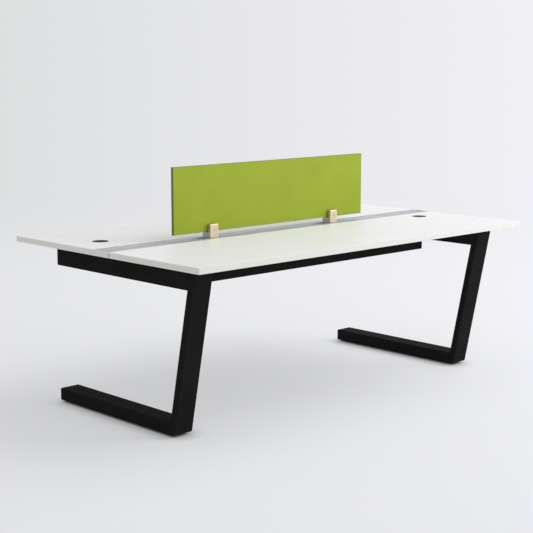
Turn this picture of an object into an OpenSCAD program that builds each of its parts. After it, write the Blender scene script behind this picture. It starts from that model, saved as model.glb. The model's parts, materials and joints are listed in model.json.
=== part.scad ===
// Two-place bench desk with a clamped privacy screen.
// X runs along the desk, -Y is the front and Z is up.
// The origin is on the floor, under the middle of the desk.

/* [Worktops] */
// Length of the desk along the rail
desk_length = 2100; // [1700:10:2600]
// Depth of each worktop, front to back
top_depth = 575; // [520:5:800]
// Height of the worktops above the floor
desk_height = 750; // [700:5:780]
// Thickness of the worktop boards
top_t = 25; // [25:1:30]
// Thickness of the plastic edge band
band_t = 2; // [1:0.5:3]
// Corner radius of the worktops
corner_r = 4; // [3.5:0.5:20]

/* [Centre rail] */
// Width of the aluminium rail
rail_w = 114; // [104:2:150]
// Gap between the rail and each worktop
rail_gap = 3; // [2:0.5:5]
// Wall of the extrusion
rail_wall = 2.5; // [2:0.1:3]
// Width of the shallow channel that the clamps sit in
channel_w = 36; // [32:1:42]
// Depth of that channel
channel_d = 5; // [3:0.5:6]
// Width of the slot mouth
mouth_w = 8.4; // [8:0.1:9]
// Width inside the slot
slot_w = 16.6; // [15:0.1:19]
// Height inside the slot
slot_h = 7; // [6:0.5:8]
// Thickness of the lips over the slot
lip_t = 3; // [2:0.5:4]
// Thickness of the moulded caps on the rail's ends
rail_cap_t = 3; // [2:0.5:5]

/* [End frames] */
// From the desk's end to the frame's outer face
frame_inset = 80; // [40:5:120]
// Width of the box sections, along the desk
frame_w = 100; // [80:1:120]
// Height of the top beams
beam_h = 94; // [80:1:110]
// Thickness of the legs
leg_t = 34; // [25:1:50]
// Height of the feet
foot_h = 56; // [40:1:70]
// Wall of the box sections
tube_wall = 3; // [2:0.5:4]
// Rolled edge radius of the box sections
tube_r = 5; // [4.5:0.5:8]
// Lean of the legs from upright, in degrees
lean = 11.5; // [4:0.5:16]
// From the front edge to the leg, under the worktop
front_setback = 115; // [60:5:180]
// From the rear edge to the ends of the beams and feet
rear_setback = 205; // [80:5:240]
// Radius of the heel, where the leg turns into the foot
heel_r = 20; // [10:1:30]
// Thickness of the end caps
end_cap_t = 4; // [2:0.5:6]

/* [Glides] */
// Clear height under the feet
glide_h = 8; // [7:0.5:14]
// Diameter of the glide pads
glide_d = 40; // [30:1:60]
// Diameter of the glide studs
stud_d = 10; // [8:1:12]
// From each end of a foot to its glide
glide_inset = 60; // [50:5:120]

/* [Crossbeams] */
// Width of the crossbeams
cross_w = 60; // [40:2:80]
// Height of the crossbeams
cross_h = 40; // [30:1:60]
// Thickness of their bolted end plates
cross_plate_t = 6; // [4:0.5:8]
// Thickness of the plates that join the rail to the worktops
join_t = 3; // [2:0.5:5]
// Length of those plates, front to back
join_len = 220; // [200:5:250]

/* [Cable trays] */
// From each end frame to the ends of the trays
tray_end_gap = 170; // [100:5:250]
// Width of the trays, front to back
tray_w = 140; // [100:2:170]
// Height from the trays' bottom to the worktops' underside
tray_h = 112; // [90:1:120]
// Height of the tray wall nearer the rail
tray_wall_h = 65; // [40:1:70]
// From the joining plates to the trays' hangers
tray_gap = 20; // [10:2:30]
// Thickness of the folded sheet
sheet_t = 2; // [1:0.5:3]
// Width of the lip folded in along that wall
tray_lip = 12; // [8:1:20]
// Width of the hanger straps
hanger_w = 30; // [20:1:50]

/* [Grommets] */
// Diameter of the hole in the worktop
grommet_hole_d = 64; // [58:1:66]
// Width of the flange outside the hole
flange_over = 5; // [3:0.5:8]
// Thickness of the flange
flange_t = 2.2; // [1.5:0.1:3]
// Depth of the sleeve in the hole
sleeve_h = 20; // [14:1:24]
// Width of the cable notch in the lid
notch_w = 16; // [10:1:20]
// From the left end of the desk to the rear grommet
rear_grommet_end = 175; // [172:1:300]
// From the rear worktop's rail edge to the rear grommet
rear_grommet_in = 173; // [150:1:220]
// From the right end of the desk to the front grommet
front_grommet_end = 205; // [172:1:300]
// From the front worktop's rail edge to the front grommet
front_grommet_in = 96; // [60:1:110]

/* [Screen] */
// Length of the screen
screen_length = 1220; // [700:10:1400]
// Height of the screen
screen_h = 300; // [200:5:500]
// Thickness of the screen
screen_t = 14; // [10:1:20]
// Gap between the rail and the screen
screen_gap = 27; // [24:1:40]
// Thickness of the trim round the screen's edge
trim_t = 0.8; // [0.4:0.2:2]
// Place of the screen's middle along the rail
screen_x = -45; // [-100:1:100]

/* [Clamps] */
// From each end of the screen to the middle of its clamp
clamp_inset = 220; // [100:5:300]
// Width of a clamp, along the rail
clamp_w = 47; // [40:1:60]
// Height of a clamp
clamp_h = 62; // [58:1:80]
// Thickness of a clamp's jaws
jaw_t = 17; // [15:0.5:22]
// Thickness of the rubber liner behind and under the screen
liner_t = 2; // [1:0.5:3]
// Diameter of the clamp screw
grip_d = 8; // [6:1:10]
// Diameter of the clamp screw's flat head
grip_head_d = 15; // [13:0.5:18]
// How far the clamp screw opens
grip_travel = 3; // [2:0.5:3]

/* [Hidden] */

$fn = 48;
eps = 0.01;
far = 4000;
// Gap between pieces that move past each other
clear = 0.3;
// Radial play of a stud, pin or screw in its own bore
run_fit = 0.05;
// Play of a bolt in its hole
bolt_play = 0.3;

// Worktops and rail
half_l = desk_length / 2;
under_z = desk_height - top_t;
top_in = rail_w / 2 + rail_gap;
half_d = top_in + top_depth;
rail_len = desk_length - 2 * rail_cap_t;
channel_z = desk_height - channel_d;
slot_top_z = channel_z - lip_t;
slot_floor_z = slot_top_z - slot_h;
rail_web = 2;
rail_lip = 2.5;
under_slot_w = 14;
under_slot_h = slot_floor_z - rail_web - rail_lip - under_z;
port_d = 4.2;
port_wall = 2.5;
port_y = (channel_w / 2 + rail_wall + rail_w / 2) / 2;
port_z = under_z + top_t / 2;
cap_head_d = 7.5;
cap_head_h = rail_cap_t * 0.6;

// End frames: y on the leg's front and rear faces at a height, and the corners of the side outline
frame_x = half_l - frame_inset - frame_w / 2;
frame_in_x = frame_x - frame_w / 2;
beam_z = under_z - beam_h;
foot_top_z = glide_h + foot_h;
front_y = front_setback - half_d;
back_y = half_d - rear_setback;
leg_y = leg_t / cos(lean);
function leg_front(z) = front_y + tan(lean) * (under_z - z);
function leg_back(z) = leg_front(z) + leg_y;
brow = [front_y, under_z];
elbow = [leg_back(beam_z), beam_z];
instep = [leg_back(foot_top_z), foot_top_z];
heel = [leg_front(glide_h), glide_h];
cap_plug = 12;
cap_play = 0.2;

// Glides and their threaded inserts
glide_ys = [heel[0] + glide_inset, back_y - glide_inset];
insert_d = stud_d + 4;
insert_collar_d = insert_d + 5;
insert_h = min(foot_h - 2 * tube_wall, 22);

// Fixings
bolt_d = 8;
bolt_head_af = 13;
bolt_head_h = 5.3;
rail_bolt_d = 6;
rail_bolt_head_af = 10;
nut_w = 13;
wood_hole_d = 5.5;

// Joining plates
join_w = 50;
join_n = 4;
join_xs = [for (i = [0.5 : join_n]) (i / join_n - 0.5) * 2 * frame_in_x];

// Cable trays: the hangers and the low wall towards the rail, and the tall wall on the crossbeam
hanger_foot = 26;
hanger_n = 3;
hanger_lap = tray_wall_h * 0.7;
tray_length = 2 * (frame_in_x - tray_end_gap);
tray_y = join_len / 2 + tray_gap + hanger_foot + tray_w;
tray_z = under_z - tray_h;
tray_tall_h = tray_h - 2;
hanger_xs = [for (i = [0.5 : hanger_n]) (i / hanger_n - 0.5) * tray_length];
tray_slot_l = 60;
tray_slot_w = 12;
tray_slot_pitch = 100;
tray_slot_n = floor((tray_length / 2 - tray_slot_l) / tray_slot_pitch);
tray_screw_d = 3.5;
tray_screw_af = 5.5;
tray_screw_head_h = 2.6;
tray_screw_n = 4;
tray_screw_xs = [for (i = [0.5 : tray_screw_n]) (i / tray_screw_n - 0.5) * tray_length];
tray_screw_z = under_z - cross_h / 2;

// Crossbeams, their end plates and the cleats
cross_y = tray_y + cross_w / 2;
cross_wall = 2;
plate_over = 5;
plate_drop = 36;
cross_plate_w = cross_w + 2 * plate_over;
cross_plate_h = min(cross_h + plate_drop, beam_h - 4);
cross_bolt_y = cross_w / 2 - 12;
cross_bolt_z = under_z - (cross_h + cross_plate_h) / 2;
cleat_l = 50;
cleat_leg = 38;
cleat_t = 4;
cleat_ys = [-cross_y - cross_plate_w / 2 - cleat_l / 2 - 5, join_len / 2 + cleat_l / 2 - 18];
cleat_bolt_z = under_z - 22;

// Grommets
rear_grommet = [rear_grommet_end - half_l, top_in + rear_grommet_in];
front_grommet = [half_l - front_grommet_end, -top_in - front_grommet_in];
sleeve_play = 0.3;
sleeve_wall = 2;
ledge_t = 2;
ledge_w = 3.2;
lid_t = 5.5;
lid_r = grommet_hole_d / 2 - sleeve_play - sleeve_wall - clear;
flange_top_z = desk_height - 0.1;
flange_z = flange_top_z - flange_t;
flange_r = grommet_hole_d / 2 + flange_over;
lid_z = desk_height - clear - lid_t;
ledge_r = lid_r + clear - ledge_w;
shutter_t = 3;
shutter_r = ledge_r - clear;
pivot_r = 4;
notch_depth = 17;

// Screen and clamps
screen_z = desk_height + screen_gap;
clamp_xs = [for (side = [-1, 1]) screen_x + side * (screen_length / 2 - clamp_inset)];
clamp_floor_z = screen_z - liner_t;
clamp_z = desk_height + clear;
pad_t = 2;
pad_r = 7;
front_gap = pad_t + 2 * clear + 0.4;
jaw_in_y = screen_t / 2 + front_gap;
clamp_front_y = -jaw_in_y - jaw_t;
clamp_back_y = screen_t / 2 + liner_t + jaw_t;
grip_z = screen_z + pad_r + 1.5;
grip_head_t = 3;
pad_pocket = grip_travel + 0.5;
clamp_r = 1.5;
nut_l = 40;
base_screw_d = 6;
base_head_d = 10;
base_head_h = 6;

WHITE = "#E8E9E5";
PALE = "#D6D8D4";
BLACK = "#1C1C1B";
SILVER = "#C4C8CC";
GREEN = "#A0B138";
OLIVE = "#3C3F1E";
CHAMPAGNE = "#D8C79A";
MAROON = "#300C0C";
STEEL = "#8C8E90";
RUBBER = "#222222";

// Rectangle with true round corners, centred
module round_rect(w, h, r) {
    square([w - 2 * r, h], center = true);
    square([w, h - 2 * r], center = true);
    for (x = [-1, 1], y = [-1, 1])
        translate([x * (w / 2 - r), y * (h / 2 - r)])
            circle(r);
}

// Hollow box section seen from its end, centred
module box_section(w, h, r, wall) {
    difference() {
        round_rect(w, h, r);
        round_rect(w - 2 * wall, h - 2 * wall, r - wall);
    }
}

// Takes a shape drawn in Y and Z and pulls it along X, centred
module along_x(len) {
    rotate([90, 0, 90])
        linear_extrude(len, center = true)
            children();
}

// Takes a shape drawn in X and Z and pulls it along Y, centred
module along_y(len) {
    rotate([90, 0, 0])
        linear_extrude(len, center = true)
            children();
}

// Hexagon bolt along +Z, with the head's seat at zero and the head below it
module hex_bolt(d, af, head_h, len) {
    translate([0, 0, -head_h])
        cylinder(d = af / cos(30), h = head_h, $fn = 6);
    translate([0, 0, -eps])
        cylinder(d = d, h = len + eps);
}

// Worktop outline with the band's inset taken off, one copy for each side of the rail
module top_outline(side, inset) {
    translate([0, side * (top_in + top_depth / 2)])
        round_rect(desk_length - 2 * inset, top_depth - 2 * inset, corner_r - inset);
}

// Worktop board with its grommet hole, and a rebate round it that takes the grommet's flange
module top_board(side, hole) {
    color(WHITE)
        difference() {
            translate([0, 0, under_z])
                linear_extrude(top_t)
                    difference() {
                        top_outline(side, band_t);
                        translate(hole) circle(d = grommet_hole_d);
                    }
            translate([hole[0], hole[1], flange_z])
                cylinder(r = flange_r + clear, h = flange_t + 1);
        }
}

module edge_band(side) {
    color(PALE)
        translate([0, 0, under_z])
            linear_extrude(top_t)
                difference() {
                    top_outline(side, 0);
                    top_outline(side, band_t);
                }
}

module front_top() { top_board(-1, front_grommet); }
module rear_top() { top_board(1, rear_grommet); }
module front_edge_band() { edge_band(-1); }
module rear_edge_band() { edge_band(1); }

// The rail's profile, drawn in Y and Z on the floor plane of the worktops' underside
module rail_outline() {
    translate([0, top_t / 2])
        round_rect(rail_w, top_t, 1.2);
}

// Chambers of one half of the profile, either side of the screw port's web
module rail_chambers() {
    web = 2;
    in_y = max(slot_w, under_slot_w) / 2 + rail_wall;
    step_y = channel_w / 2 + rail_wall;
    end_y = rail_w / 2 - rail_wall;
    low = rail_wall;
    high = top_t - rail_wall;
    step_z = top_t - channel_d - rail_wall;
    translate([in_y, low]) square([port_y - web / 2 - in_y, step_z - low]);
    translate([step_y, low]) square([port_y - web / 2 - step_y, high - low]);
    translate([port_y + web / 2, low]) square([end_y - port_y - web / 2, high - low]);
}

module rail_profile() {
    slot_mid = slot_floor_z - under_z;
    difference() {
        rail_outline();
        translate([-channel_w / 2, top_t - channel_d]) square([channel_w, channel_d + 1]);
        translate([-mouth_w / 2, slot_mid]) square([mouth_w, top_t]);
        translate([-slot_w / 2, slot_mid]) square([slot_w, slot_h]);
        translate([-mouth_w / 2, -1]) square([mouth_w, rail_lip + 1 + under_slot_h]);
        translate([-under_slot_w / 2, rail_lip]) square([under_slot_w, under_slot_h]);
        for (side = [0, 1])
            mirror([side, 0])
                difference() {
                    rail_chambers();
                    translate([port_y, top_t / 2]) circle(d = port_d + 2 * port_wall);
                }
        for (side = [-1, 1])
            translate([side * port_y, top_t / 2]) circle(d = port_d);
    }
}

module centre_rail() {
    color(SILVER)
        translate([0, 0, under_z])
            along_x(rail_len)
                rail_profile();
}

// End cap of the rail: a plate over the profile and two plugs in its outer chambers
module rail_cap(side) {
    plug_len = 8;
    plug_in = port_y + port_d / 2 + port_wall + cap_play;
    plug_out = rail_w / 2 - rail_wall - cap_play;
    color(PALE)
        difference() {
            union() {
                translate([side * (half_l - rail_cap_t / 2), 0, under_z])
                    along_x(rail_cap_t)
                        rail_outline();
                for (hand = [-1, 1])
                    translate([side * (half_l - rail_cap_t - plug_len / 2), 0, under_z])
                        along_x(plug_len)
                            translate([hand * (plug_in + plug_out) / 2, top_t / 2])
                                square([plug_out - plug_in, top_t - 2 * rail_wall - 2 * cap_play],
                                       center = true);
            }
            for (hand = [-1, 1])
                translate([side * half_l, hand * port_y, port_z])
                    rotate([0, -side * 90, 0]) {
                        cylinder(d = port_d + bolt_play, h = 2 * rail_cap_t);
                        translate([0, 0, -1]) cylinder(d = cap_head_d + bolt_play, h = 1 + cap_head_h);
                    }
        }
}

module left_rail_cap() { rail_cap(-1); }
module right_rail_cap() { rail_cap(1); }

// Screws in the rail's ports, with their heads sunk in the caps
module rail_cap_screws() {
    head_z = 0.2;
    color(STEEL)
        for (side = [-1, 1], hand = [-1, 1])
            translate([side * half_l, hand * port_y, port_z])
                rotate([0, -side * 90, 0])
                    difference() {
                        union() {
                            translate([0, 0, head_z]) cylinder(d = cap_head_d, h = cap_head_h - head_z);
                            translate([0, 0, head_z]) cylinder(d = port_d - 0.1, h = 16);
                        }
                        cylinder(d = 3.4, h = 1.2, $fn = 6);
                    }
}

// Flat steel plates under the rail that carry it between the two worktops
module joining_plates() {
    color(BLACK)
        for (x = join_xs)
            translate([x, 0, under_z - join_t])
                linear_extrude(join_t)
                    difference() {
                        round_rect(join_w, join_len, 4);
                        circle(d = rail_bolt_d + bolt_play);
                        for (side = [-1, 1])
                            translate([0, side * (join_len / 2 - 16)]) circle(d = wood_hole_d);
                    }
}

module rail_bolts() {
    color(STEEL)
        for (x = join_xs)
            translate([x, 0, under_z - join_t])
                hex_bolt(rail_bolt_d, rail_bolt_head_af, 4, join_t + rail_lip + under_slot_h - 0.3);
}

module rail_slot_nuts() {
    color(STEEL)
        for (x = join_xs)
            translate([x, 0, under_z + rail_lip])
                linear_extrude(under_slot_h - 0.8)
                    difference() {
                        square(nut_w, center = true);
                        circle(d = rail_bolt_d + 0.1);
                    }
}

// Slab across the desk with a side outline in Y and Z, for the mitre cuts
module side_slab(x, points) {
    translate([x, 0, 0])
        along_x(frame_w + 20)
            polygon(points);
}

// Waste outside the heel's arc: the kite between the corner and its tangent points, less the circle
module heel_waste() {
    open_deg = 90 + lean;
    reach = heel_r / tan(open_deg / 2);
    foot_touch = heel + reach * [1, 0];
    leg_touch = heel + reach * [-sin(lean), cos(lean)];
    centre = foot_touch + heel_r * [0, 1];
    out = [-eps, -eps] * 10;
    difference() {
        polygon([heel + out, foot_touch + [0, out[1]], foot_touch, centre, leg_touch, leg_touch + [out[0], 0]]);
        translate(centre) circle(heel_r, $fn = 96);
    }
}

module heel_cut(x) {
    translate([x, 0, 0])
        along_x(frame_w + 20)
            heel_waste();
}

// Holes in a beam's inner wall for the crossbeams and the cleats
module frame_bolt_holes(side) {
    for (row = [-1, 1], step = [-1, 1])
        translate([side * frame_in_x, row * cross_y + step * cross_bolt_y, cross_bolt_z])
            rotate([0, 90, 0])
                cylinder(d = bolt_d + bolt_play, h = 4 * tube_wall, center = true);
    for (y = cleat_ys)
        translate([side * frame_in_x, y, cleat_bolt_z])
            rotate([0, 90, 0])
                cylinder(d = bolt_d + bolt_play, h = 4 * tube_wall, center = true);
}

// Top beam of an end frame, mitred to the leg at its front
module beam(side) {
    x = side * frame_x;
    end_y = back_y - end_cap_t;
    len = end_y - front_y;
    color(BLACK)
        difference() {
            intersection() {
                translate([x, (front_y + end_y) / 2, under_z - beam_h / 2])
                    along_y(len)
                        box_section(frame_w, beam_h, tube_r, tube_wall);
                side_slab(x, [brow, [end_y, under_z], [end_y, beam_z], elbow]);
            }
            frame_bolt_holes(side);
        }
}

// Leaning leg, mitred to the beam and to the foot
module leg(side) {
    x = side * frame_x;
    over = 2 * leg_t;
    run = (under_z - glide_h) / cos(lean);
    color(BLACK)
        difference() {
            intersection() {
                translate([x, heel[0] + leg_y / 2, glide_h])
                    rotate([lean, 0, 0])
                        translate([0, 0, -over])
                            linear_extrude(run + 2 * over)
                                box_section(frame_w, leg_t, tube_r, tube_wall);
                side_slab(x, [brow, elbow, instep, heel]);
            }
            heel_cut(x);
        }
}

// Foot, mitred to the leg at its heel, with a hole for each glide's insert
module foot(side) {
    x = side * frame_x;
    end_y = back_y - end_cap_t;
    len = end_y - heel[0];
    color(BLACK)
        difference() {
            intersection() {
                translate([x, (heel[0] + end_y) / 2, glide_h + foot_h / 2])
                    along_y(len)
                        box_section(frame_w, foot_h, tube_r, tube_wall);
                side_slab(x, [heel, instep, [end_y, foot_top_z], [end_y, glide_h]]);
            }
            heel_cut(x);
            for (y = glide_ys)
                translate([x, y, glide_h - 1])
                    cylinder(d = insert_d, h = tube_wall + 2);
        }
}

// Moulded cap in the open end of a box section
module end_cap(side, z, h) {
    inner_w = frame_w - 2 * tube_wall - 2 * cap_play;
    inner_h = h - 2 * tube_wall - 2 * cap_play;
    inner_r = tube_r - tube_wall;
    rib = 2.5;
    color("#141414")
        translate([side * frame_x, back_y, z + h / 2]) {
            translate([0, -end_cap_t / 2, 0])
                along_y(end_cap_t)
                    round_rect(frame_w, h, tube_r);
            translate([0, -end_cap_t - cap_plug / 2, 0])
                along_y(cap_plug)
                    difference() {
                        round_rect(inner_w, inner_h, inner_r);
                        square([inner_w - 2 * rib, inner_h - 2 * rib], center = true);
                    }
        }
}

module left_beam() { beam(-1); }
module right_beam() { beam(1); }
module left_leg() { leg(-1); }
module right_leg() { leg(1); }
module left_foot() { foot(-1); }
module right_foot() { foot(1); }
module left_beam_cap() { end_cap(-1, beam_z, beam_h); }
module right_beam_cap() { end_cap(1, beam_z, beam_h); }
module left_foot_cap() { end_cap(-1, glide_h, foot_h); }
module right_foot_cap() { end_cap(1, glide_h, foot_h); }

// Crossbeam between the frames, with holes in its rail side for the tray's screws
module crossbeam(row) {
    color(BLACK)
        difference() {
            translate([0, row * cross_y, under_z - cross_h / 2])
                along_x(2 * (frame_in_x - cross_plate_t))
                    box_section(cross_w, cross_h, 3, cross_wall);
            for (x = tray_screw_xs)
                translate([x, row * tray_y, tray_screw_z])
                    rotate([90, 0, 0])
                        cylinder(d = tray_screw_d + bolt_play, h = 4 * cross_wall, center = true);
        }
}

module front_crossbeam() { crossbeam(-1); }
module rear_crossbeam() { crossbeam(1); }

module crossbeam_plates() {
    color(BLACK)
        for (side = [-1, 1], row = [-1, 1])
            translate([side * (frame_in_x - cross_plate_t / 2), row * cross_y, under_z - cross_plate_h / 2])
                along_x(cross_plate_t)
                    difference() {
                        round_rect(cross_plate_w, cross_plate_h, 5);
                        for (step = [-1, 1])
                            translate([step * cross_bolt_y, -cross_h / 2]) circle(d = bolt_d + bolt_play);
                    }
}

// Angle cleats between the beams and the worktops
module top_cleats() {
    color(BLACK)
        for (side = [-1, 1], y = cleat_ys)
            translate([side * frame_in_x, y, under_z])
                mirror([side > 0 ? 1 : 0, 0, 0])
                    difference() {
                        union() {
                            translate([0, -cleat_l / 2, -cleat_t]) cube([cleat_leg, cleat_l, cleat_t]);
                            translate([0, -cleat_l / 2, -cleat_leg]) cube([cleat_t, cleat_l, cleat_leg]);
                        }
                        translate([0, 0, cleat_bolt_z - under_z])
                            rotate([0, 90, 0])
                                cylinder(d = bolt_d + bolt_play, h = 4 * cleat_t, center = true);
                        for (step = [-1, 1])
                            translate([cleat_leg * 0.62, step * cleat_l / 4, -2 * cleat_t])
                                cylinder(d = wood_hole_d, h = 3 * cleat_t);
                    }
}

module frame_bolts() {
    grip = 10;
    color(STEEL)
        for (side = [-1, 1]) {
            for (row = [-1, 1], step = [-1, 1])
                translate([side * (frame_in_x - cross_plate_t), row * cross_y + step * cross_bolt_y, cross_bolt_z])
                    rotate([0, side * 90, 0])
                        hex_bolt(bolt_d, bolt_head_af, bolt_head_h, cross_plate_t + grip);
            for (y = cleat_ys)
                translate([side * (frame_in_x - cleat_t), y, cleat_bolt_z])
                    rotate([0, side * 90, 0])
                        hex_bolt(bolt_d, bolt_head_af, bolt_head_h, cleat_t + grip);
        }
}

// Puts a shape, drawn in Y and Z from the foot of the tall wall towards the rail, at the tray of one row
module at_tray(row) {
    translate([0, row * tray_y, tray_z])
        mirror([0, row > 0 ? 1 : 0, 0])
            children();
}

// Folded profile of a tray: a tall wall on the crossbeam, the bottom, and a low wall with a lip
module tray_profile() {
    square([sheet_t, tray_tall_h]);
    square([tray_w, sheet_t]);
    translate([tray_w - sheet_t, 0]) square([sheet_t, tray_wall_h]);
    translate([tray_w - tray_lip, tray_wall_h - sheet_t]) square([tray_lip, sheet_t]);
}

module tray(row) {
    color(BLACK)
        at_tray(row)
            difference() {
                along_x(tray_length)
                    tray_profile();
                for (i = [-tray_slot_n : tray_slot_n], line = [1, 2])
                    translate([i * tray_slot_pitch, line * tray_w / 3, -1])
                        linear_extrude(sheet_t + 2)
                            round_rect(tray_slot_l, tray_slot_w, tray_slot_w / 2 - eps);
                for (x = tray_screw_xs)
                    translate([x, 0, tray_screw_z - tray_z])
                        rotate([90, 0, 0])
                            cylinder(d = tray_screw_d + bolt_play, h = 4 * sheet_t, center = true);
            }
}

module front_cable_tray() { tray(-1); }
module rear_cable_tray() { tray(1); }

// Plates in the trays' ends, cut down from the tall wall to the lip
module tray_end_plates() {
    low = tray_wall_h - sheet_t;
    color(BLACK)
        for (row = [-1, 1], side = [-1, 1])
            at_tray(row)
                translate([side * (tray_length - sheet_t) / 2, 0, 0])
                    along_x(sheet_t)
                        polygon([[sheet_t, sheet_t], [tray_w - sheet_t, sheet_t], [tray_w - sheet_t, low],
                                 [tray_w - tray_lip, low], [tray_w / 2, tray_tall_h], [sheet_t, tray_tall_h]]);
}

// Cranked straps that hang the low walls from the worktops
module tray_hangers() {
    low = tray_wall_h - hanger_lap;
    color(BLACK)
        for (row = [-1, 1], x = hanger_xs)
            at_tray(row)
                translate([x, tray_w, 0])
                    difference() {
                        along_x(hanger_w) {
                            translate([0, low]) square([sheet_t, tray_h - low]);
                            translate([0, tray_h - sheet_t]) square([hanger_foot, sheet_t]);
                        }
                        translate([0, hanger_foot / 2 + 1, tray_h - 2 * sheet_t])
                            cylinder(d = wood_hole_d, h = 3 * sheet_t);
                    }
}

// Self-tapping screws that hold the trays' tall walls on the crossbeams
module tray_screws() {
    grip = 8;
    color(STEEL)
        for (row = [-1, 1], x = tray_screw_xs)
            at_tray(row)
                translate([x, sheet_t, tray_screw_z - tray_z])
                    rotate([90, 0, 0])
                        hex_bolt(tray_screw_d, tray_screw_af, tray_screw_head_h, sheet_t + grip);
}

// Threaded inserts in the feet: a barrel with a collar on the inside of the wall
module glide_inserts() {
    collar_h = 3;
    color(STEEL)
        for (side = [-1, 1], y = glide_ys)
            translate([side * frame_x, y, glide_h])
                difference() {
                    union() {
                        cylinder(d = insert_d - 0.1, h = insert_h);
                        translate([0, 0, tube_wall]) cylinder(d = insert_collar_d, h = collar_h);
                    }
                    translate([0, 0, -1]) cylinder(d = stud_d + 2 * run_fit, h = insert_h + 2);
                }
}

// Levelling glide: a chamfered pad with its threaded stud, screwed fully in
module glide(side, y) {
    rim_h = 4;
    top = glide_h - clear;
    stud_end = glide_h + insert_h + 6;
    color(RUBBER)
        translate([side * frame_x, y, 0])
            rotate_extrude($fn = 64)
                polygon([[0, 0], [glide_d / 2 - 1, 0], [glide_d / 2, 1], [glide_d / 2, rim_h],
                         [stud_d / 2 + 6, top], [stud_d / 2, top], [stud_d / 2, stud_end - 1],
                         [stud_d / 2 - 1, stud_end], [0, stud_end]]);
}

module front_left_glide() { glide(-1, glide_ys[0]); }
module rear_left_glide() { glide(-1, glide_ys[1]); }
module front_right_glide() { glide(1, glide_ys[0]); }
module rear_right_glide() { glide(1, glide_ys[1]); }

// Cable notch, open at the rim on the side given by hand, in the XY plane
module notch(r, hand) {
    reach = r - notch_depth;
    translate([hand * (reach + notch_w / 2), 0]) circle(d = notch_w);
    translate([hand > 0 ? reach + notch_w / 2 : -2 * r - reach - notch_w / 2, -notch_w / 2])
        square([2 * r, notch_w]);
}

module grommet_liner(at) {
    r_sleeve = grommet_hole_d / 2 - sleeve_play;
    r_in = r_sleeve - sleeve_wall;
    ledge_top = lid_z - clear;
    color(MAROON)
        translate([at[0], at[1], 0])
            rotate_extrude($fn = 96)
                polygon([[r_in, flange_top_z], [flange_r - 0.8, flange_top_z], [flange_r, flange_top_z - 0.8],
                         [flange_r, flange_z], [r_sleeve, flange_z],
                         [r_sleeve, desk_height - sleeve_h], [r_in, desk_height - sleeve_h],
                         [r_in, ledge_top - ledge_t - ledge_w / 2], [ledge_r, ledge_top - ledge_t],
                         [ledge_r, ledge_top], [r_in, ledge_top]]);
}

module grommet_lid(at, hand) {
    color(MAROON)
        translate([at[0], at[1], lid_z])
            difference() {
                rotate_extrude($fn = 96)
                    polygon([[pivot_r + run_fit, 0], [lid_r - 0.5, 0], [lid_r, 0.5], [lid_r, lid_t - 0.8],
                             [lid_r - 0.8, lid_t], [pivot_r + run_fit, lid_t]]);
                translate([0, 0, -1])
                    linear_extrude(lid_t + 2)
                        notch(lid_r, hand);
            }
}

// Shutter disc under the lid, which turns on its pivot to close the notch
module grommet_shutter(at, hand) {
    top = lid_z - clear;
    color(MAROON)
        translate([at[0], at[1], 0])
            difference() {
                rotate_extrude($fn = 96)
                    polygon([[0, top - shutter_t], [shutter_r, top - shutter_t], [shutter_r, top], [pivot_r, top],
                             [pivot_r, lid_z + lid_t - 0.5], [0, lid_z + lid_t - 0.5]]);
                translate([0, 0, top - shutter_t - 1])
                    linear_extrude(shutter_t + 2)
                        notch(lid_r, hand);
            }
}

module front_grommet_liner() { grommet_liner(front_grommet); }
module front_grommet_lid() { grommet_lid(front_grommet, -1); }
module front_grommet_shutter() { grommet_shutter(front_grommet, -1); }
module rear_grommet_liner() { grommet_liner(rear_grommet); }
module rear_grommet_lid() { grommet_lid(rear_grommet, 1); }
module rear_grommet_shutter() { grommet_shutter(rear_grommet, 1); }

module screen_panel() {
    color(GREEN)
        translate([screen_x, 0, screen_z + screen_h / 2])
            cube([screen_length - 2 * trim_t, screen_t, screen_h - 2 * trim_t], center = true);
}

module screen_trim() {
    color(OLIVE)
        translate([screen_x, 0, screen_z + screen_h / 2])
            along_y(screen_t)
                difference() {
                    round_rect(screen_length, screen_h, trim_t);
                    square([screen_length - 2 * trim_t, screen_h - 2 * trim_t], center = true);
                }
}

// Side outline of a clamp in Y and Z: a fork for the screen, with a key that sits in the rail's channel
module clamp_outline() {
    depth = clamp_back_y - clamp_front_y;
    tall = clamp_h - clear;
    difference() {
        translate([(clamp_back_y + clamp_front_y) / 2, clamp_z + tall / 2])
            round_rect(depth, tall, clamp_r);
        translate([-jaw_in_y, clamp_floor_z])
            square([jaw_in_y + screen_t / 2 + liner_t, clamp_h]);
    }
    translate([-channel_w / 2 + clear, channel_z + clear])
        square([channel_w - 2 * clear, clamp_z - channel_z + eps]);
}

module clamp(x) {
    color(CHAMPAGNE)
        difference() {
            translate([x, 0, 0])
                along_x(clamp_w)
                    clamp_outline();
            translate([x, 0, 0]) {
                translate([0, 0, channel_z]) cylinder(d = base_screw_d + bolt_play, h = clamp_h);
                translate([0, 0, clamp_floor_z - base_head_h - 1])
                    cylinder(d = base_head_d + 2 * bolt_play, h = clamp_h);
                translate([0, clamp_front_y - 1, grip_z])
                    rotate([-90, 0, 0]) {
                        cylinder(d = grip_d + 2 * run_fit, h = jaw_t + 2);
                        cylinder(d = grip_head_d + 2 * clear, h = 1 + grip_head_t + clear);
                        translate([0, 0, 1 + jaw_t - pad_pocket])
                            cylinder(r = pad_r + clear, h = pad_pocket + 2);
                    }
            }
        }
}

module left_clamp() { clamp(clamp_xs[0]); }
module right_clamp() { clamp(clamp_xs[1]); }

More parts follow.
